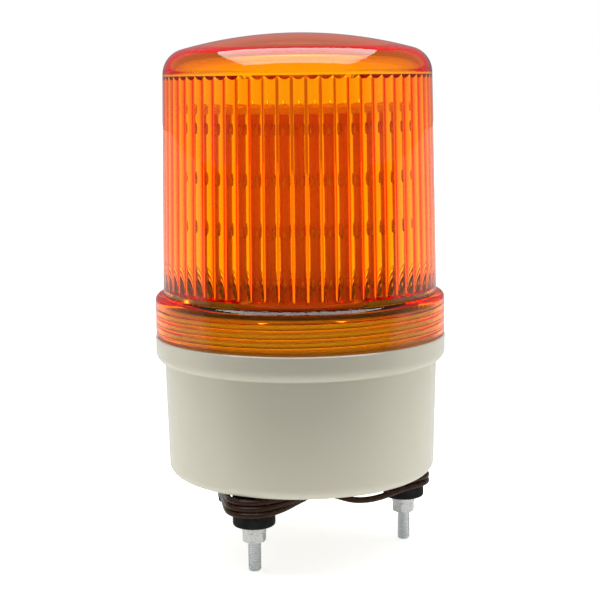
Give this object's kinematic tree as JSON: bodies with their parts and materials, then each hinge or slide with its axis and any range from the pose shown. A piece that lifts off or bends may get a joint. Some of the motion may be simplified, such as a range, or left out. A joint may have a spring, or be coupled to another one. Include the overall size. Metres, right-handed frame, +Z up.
{
  "type": "signal beacon",
  "caption": "Stud-mounted amber signal beacon: fluted screw-on dome lens over a tower of lamps, grey cup housing, rubber feet, nuts, and leads wound round the studs.",
  "frame": {"origin": "on the beacon's upright axis, at the level of the three stud tips it stands on", "axes": "+Z up along the axis from the studs to the dome, -Y the front, +X to the right seen from the front"},
  "size_m": [0.1148, 0.1148, 0.2036],
  "materials": {
    "housing_plastic": "glossy moulded, light warm grey",
    "amber_lens": "clear amber, polished outside, fluted inside",
    "black_rubber": "matt",
    "seal_rubber": "matt",
    "zinc_steel": "bright zinc plated",
    "green_board": "satin lacquer",
    "white_board": "satin lacquer",
    "cap_plastic": "satin",
    "black_plastic": "satin",
    "capacitor_sleeve": "glossy sleeve",
    "terminal_plastic": "satin",
    "lamp_resin": "clear resin",
    "lead_sleeve": "soft satin sleeve"
  },
  "bodies": {
    "beacon_base": {"cable_grommet": "black_rubber", "capacitors": "capacitor_sleeve", "chassis_plate": "black_plastic", "chassis_screws": "zinc_steel", "driver_board": "green_board", "driver_screws": "zinc_steel", "flat_washers": "zinc_steel", "hex_nuts": "zinc_steel", "housing": "housing_plastic", "lamp_boards": "white_board", "lamps_bottom_row": "lamp_resin", "lamps_lower_row": "lamp_resin", "lamps_top_row": "lamp_resin", "lamps_upper_row": "lamp_resin", "lead_one": "lead_sleeve", "lead_two": "lead_sleeve", "power_transistors": "black_plastic", "rubber_feet": "black_rubber", "spring_washers": "zinc_steel", "studs": "zinc_steel", "terminal_block": "terminal_plastic", "tower_cap": "cap_plastic", "tower_post": "black_plastic", "tower_ring_board": "white_board", "tower_screw": "zinc_steel"},
    "lens_seal_body": {"lens_seal": "seal_rubber"},
    "lens_body": {"lens": "amber_lens"}
  },
  "joints": [
    {"name": "lens_lift", "type": "slide", "parent": "beacon_base", "child": "lens_seal_body", "axis": [0, 0, 1], "range_m": [0, 0.0116]},
    {"name": "lens_turn", "type": "hinge", "parent": "lens_seal_body", "child": "lens_body", "pos_m": [0, 0, 0.1], "axis": [0, 0, 1], "range_deg": [0, 1260]}
  ],
  "couplings": [
    {"joint": "lens_lift", "follows": "lens_turn", "m_per_rad": 0.00052521}
  ]
}
